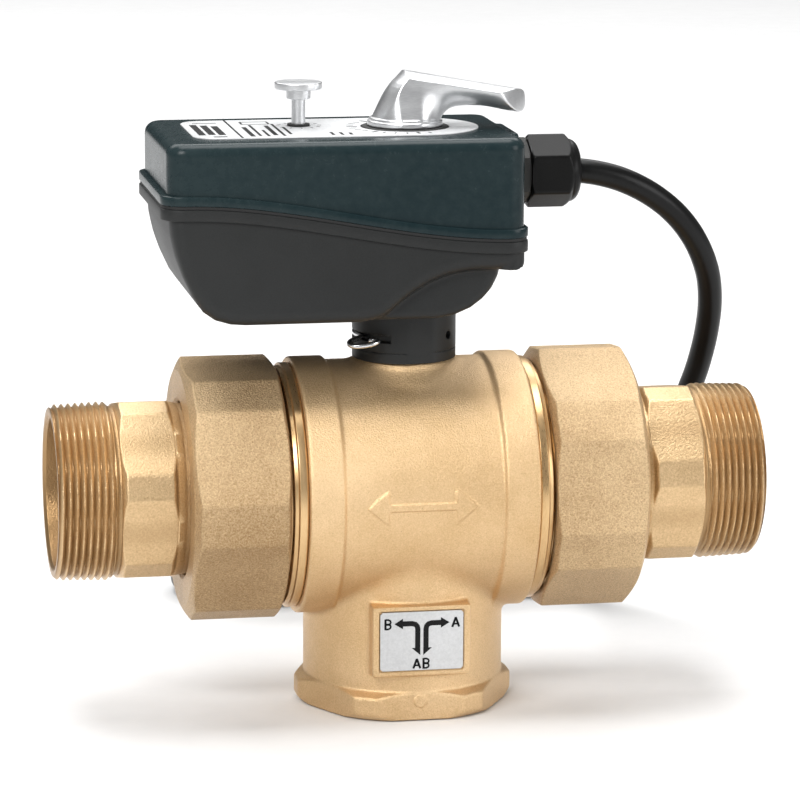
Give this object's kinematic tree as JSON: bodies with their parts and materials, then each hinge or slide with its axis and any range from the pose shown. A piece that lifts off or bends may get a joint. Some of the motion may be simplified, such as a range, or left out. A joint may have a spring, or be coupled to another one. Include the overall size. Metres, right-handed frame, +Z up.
{
  "type": "motorised three-way diverter valve",
  "caption": "Three-way diverter ball valve: brass body with two union tailpieces and a lower port, geared electric actuator with smoked cover, hand lever, release button and gland cable.",
  "frame": {"origin": "bottom centre of the lower port, at the foot face", "axes": "+X along the run toward port A, +Y toward the back, +Z up along the lower port and the stem"},
  "size_m": [0.2384, 0.2277, 0.2135],
  "materials": {
    "cast_brass": "cast, shot-blasted",
    "forged_brass": "forged, shot-blasted",
    "machined_brass": "turned",
    "seal_rubber": "matt",
    "fibre_gasket": "fibre sheet",
    "ptfe": "waxy",
    "plated_ball": "polished",
    "stem_metal": "turned",
    "label_silver": "satin",
    "black_plastic": "fine texture",
    "spring_steel": "drawn wire",
    "smoked_cover": "polished, smoked",
    "screw_steel": "zinc plated",
    "plate_steel": "zinc plated",
    "gear_metal": "machined",
    "gear_plastic": "moulded",
    "cam_red": "moulded",
    "switch_black": "moulded",
    "board_green": "solder mask",
    "terminal_grey": "moulded",
    "capacitor_blue": "sleeved",
    "satin_chrome": "satin",
    "gland_grey": "moulded nylon",
    "gland_black": "moulded nylon",
    "cable_black": "smooth sheath",
    "tie_black": "woven strap",
    "core_insulation": "extruded"
  },
  "bodies": {
    "valve": {"valve_body": "cast_brass", "end_cap_a": "machined_brass", "end_cap_b": "machined_brass", "body_oring_a": "seal_rubber", "body_oring_b": "seal_rubber", "tailpiece_a": "machined_brass", "tailpiece_b": "machined_brass", "union_gasket_a": "fibre_gasket", "union_gasket_b": "fibre_gasket", "seat_ring_a": "ptfe", "seat_ring_b": "ptfe", "stem_bush": "ptfe", "port_label": "label_silver", "mounting_collar": "black_plastic", "retaining_clip": "spring_steel", "base_housing": "black_plastic", "housing_gasket": "seal_rubber", "top_cover": "smoked_cover", "rating_plate": "label_silver", "cover_screw_1": "screw_steel", "cover_screw_2": "screw_steel", "cover_screw_3": "screw_steel", "cover_screw_4": "screw_steel", "gear_frame": "plate_steel", "gear_plate": "plate_steel", "motor": "plate_steel", "limit_switch_a": "switch_black", "limit_switch_b": "switch_black", "circuit_board": "board_green", "terminal_block": "terminal_grey", "capacitor": "capacitor_blue", "button_bush": "black_plastic", "button_spring": "spring_steel", "gland_body": "gland_grey", "gland_seal": "seal_rubber", "gland_locknut": "gland_grey", "cable_lead": "cable_black", "cable_hank": "cable_black", "cable_tie": "tie_black", "cable_cores": "core_insulation"},
    "shaft_set": {"ball": "plated_ball", "stem": "stem_metal", "stem_oring_lower": "seal_rubber", "stem_oring_upper": "seal_rubber", "output_shaft": "screw_steel", "output_gear": "gear_plastic", "cam_lower": "gear_plastic", "cam_upper": "cam_red", "lever": "satin_chrome", "lever_screw": "screw_steel", "lever_ring": "black_plastic"},
    "gear_2_set": {"gear_2": "gear_plastic"},
    "gear_1_set": {"gear_1": "gear_plastic"},
    "pinion_set": {"motor_pinion": "gear_metal"},
    "button_set": {"release_button": "satin_chrome", "release_fork": "gear_plastic"},
    "nut_a_set": {"union_nut_a": "forged_brass"},
    "nut_b_set": {"union_nut_b": "forged_brass"},
    "gland_nut_set": {"gland_nut": "gland_black"}
  },
  "joints": [
    {"name": "lever_turn", "type": "hinge", "parent": "valve", "child": "shaft_set", "pos_m": [0, 0, 0.0744], "axis": [0, 0, 1], "range_deg": [-90, 0]},
    {"name": "gear_2_turn", "type": "hinge", "parent": "valve", "child": "gear_2_set", "pos_m": [-0.026, 0, 0.147], "axis": [0, 0, 1], "range_deg": [-2, 302]},
    {"name": "gear_1_turn", "type": "hinge", "parent": "valve", "child": "gear_1_set", "pos_m": [-0.044, -0.0108, 0.153], "axis": [0, 0, 1], "range_deg": [-752, 2]},
    {"name": "pinion_turn", "type": "hinge", "parent": "valve", "child": "pinion_set", "pos_m": [-0.0622, -0.0003, 0.157], "axis": [0, 0, 1], "range_deg": [-2, 1878]},
    {"name": "button_press", "type": "slide", "parent": "valve", "child": "button_set", "axis": [0, 0, -1], "range_m": [0, 0.004], "stiffness_N_per_m": 300, "springref_m": -0.002, "deforming": ["button_spring"]},
    {"name": "nut_a_turn", "type": "hinge", "parent": "valve", "child": "nut_a_set", "pos_m": [0.0602, 0, 0.0744], "axis": [1, 0, 0], "continuous": true},
    {"name": "nut_b_turn", "type": "hinge", "parent": "valve", "child": "nut_b_set", "pos_m": [-0.0602, 0, 0.0744], "axis": [1, 0, 0], "continuous": true},
    {"name": "gland_nut_turn", "type": "hinge", "parent": "valve", "child": "gland_nut_set", "pos_m": [0.05, 0.006, 0.178], "axis": [1, 0, 0], "continuous": true}
  ],
  "couplings": [
    {"joint": "gear_2_turn", "follows": "lever_turn", "ratio": -3.3333},
    {"joint": "gear_1_turn", "follows": "lever_turn", "ratio": 8.3333},
    {"joint": "pinion_turn", "follows": "lever_turn", "ratio": -20.833}
  ]
}
